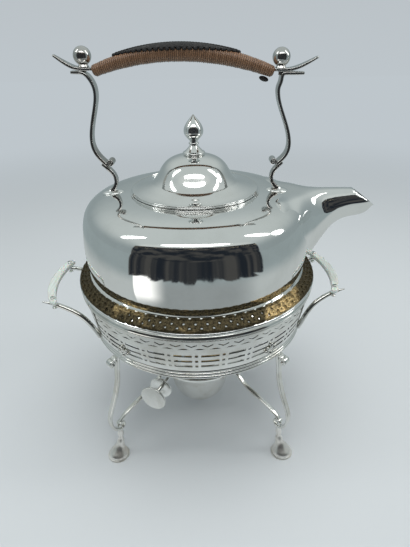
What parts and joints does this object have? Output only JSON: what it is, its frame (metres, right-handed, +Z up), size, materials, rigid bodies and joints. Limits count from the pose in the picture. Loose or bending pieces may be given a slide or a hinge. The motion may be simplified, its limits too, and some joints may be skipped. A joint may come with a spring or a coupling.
{
  "type": "spirit kettle on stand",
  "caption": "Round silver-plated kettle with spout, lid and tall cane-wrapped handle, on a pierced four-legged stand with side handles and a spirit burner.",
  "frame": {"origin": "on the stand's vertical axis, at the level of the table under the feet", "axes": "+Z up, +X along the spout, -Y towards the front"},
  "size_m": [0.2777, 0.2002, 0.3333],
  "materials": {
    "silver_plate": "polished silver plate",
    "gilt_lace": "tarnished gilt",
    "bone": "polished bone",
    "cane": "varnished cane",
    "grip_wood": "plain",
    "black_lacing": "waxed",
    "bare_brass": "dull",
    "cotton": "woven"
  },
  "bodies": {
    "stand": {"gallery_wall": "silver_plate", "gallery_rim": "silver_plate", "base_ring": "silver_plate", "burner_ring": "silver_plate", "leg_back_right": "silver_plate", "foot_back_right": "silver_plate", "brace_back_right": "silver_plate", "leg_back_left": "silver_plate", "foot_back_left": "silver_plate", "brace_back_left": "silver_plate", "leg_front_left": "silver_plate", "foot_front_left": "silver_plate", "brace_front_left": "silver_plate", "leg_front_right": "silver_plate", "foot_front_right": "silver_plate", "brace_front_right": "silver_plate", "leg_leaves": "silver_plate", "side_grip_left": "bone", "side_grip_right": "bone", "handle_arm_left_front": "silver_plate", "handle_arm_left_back": "silver_plate", "handle_arm_right_front": "silver_plate", "handle_arm_right_back": "silver_plate", "grip_rivets": "silver_plate"},
    "kettle": {"kettle_body": "silver_plate", "kettle_base": "silver_plate", "kettle_skirt": "silver_plate", "lace_band": "gilt_lace", "spout": "silver_plate", "lid_seat": "silver_plate", "handle_strap": "silver_plate", "upright_left": "silver_plate", "leaf_plate_left": "silver_plate", "lower_bracket_left": "silver_plate", "ball_nut_left": "silver_plate", "upright_right": "silver_plate", "leaf_plate_right": "silver_plate", "lower_bracket_right": "silver_plate", "ball_nut_right": "silver_plate", "handle_studs": "silver_plate", "grip_core": "grip_wood", "cane_winding": "cane", "lacing_band": "black_lacing", "lacing_knot": "black_lacing"},
    "lid": {"lid_shell": "silver_plate", "lid_plug": "silver_plate", "finial": "silver_plate", "finial_nut": "bare_brass"},
    "burner": {"burner_font": "silver_plate", "font_flange": "silver_plate"},
    "burner_top": {"burner_cap": "bare_brass", "wick_housing": "bare_brass", "wick_tube": "bare_brass", "gland_nut": "bare_brass"},
    "regulator": {"regulator_spindle": "silver_plate", "wick_wheel": "bare_brass", "rear_disc": "silver_plate", "knob_disc": "silver_plate"},
    "wick": {"wick": "cotton"}
  },
  "joints": [
    {"name": "kettle_lift", "type": "slide", "parent": "stand", "child": "kettle", "axis": [0, 0, 1], "range_m": [0, 0.06]},
    {"name": "lid_lift", "type": "slide", "parent": "kettle", "child": "lid", "axis": [0, 0, 1], "range_m": [0, 0.03]},
    {"name": "burner_lift", "type": "slide", "parent": "stand", "child": "burner", "axis": [0, 0, 1], "range_m": [0, 0.008]},
    {"name": "burner_top_lift", "type": "slide", "parent": "burner", "child": "burner_top", "axis": [0, 0, 1], "range_m": [0, 0.006]},
    {"name": "regulator_turn", "type": "hinge", "parent": "burner_top", "child": "regulator", "pos_m": [0, 0, 0.082], "axis": [-0.3987, -0.9171, 0], "range_deg": [-110, 80]},
    {"name": "wick_raise", "type": "slide", "parent": "burner_top", "child": "wick", "axis": [0, 0, 1], "range_m": [-0.0056, 0.0041]}
  ],
  "couplings": [
    {"joint": "wick_raise", "follows": "regulator_turn", "m_per_rad": 0.0029}
  ]
}
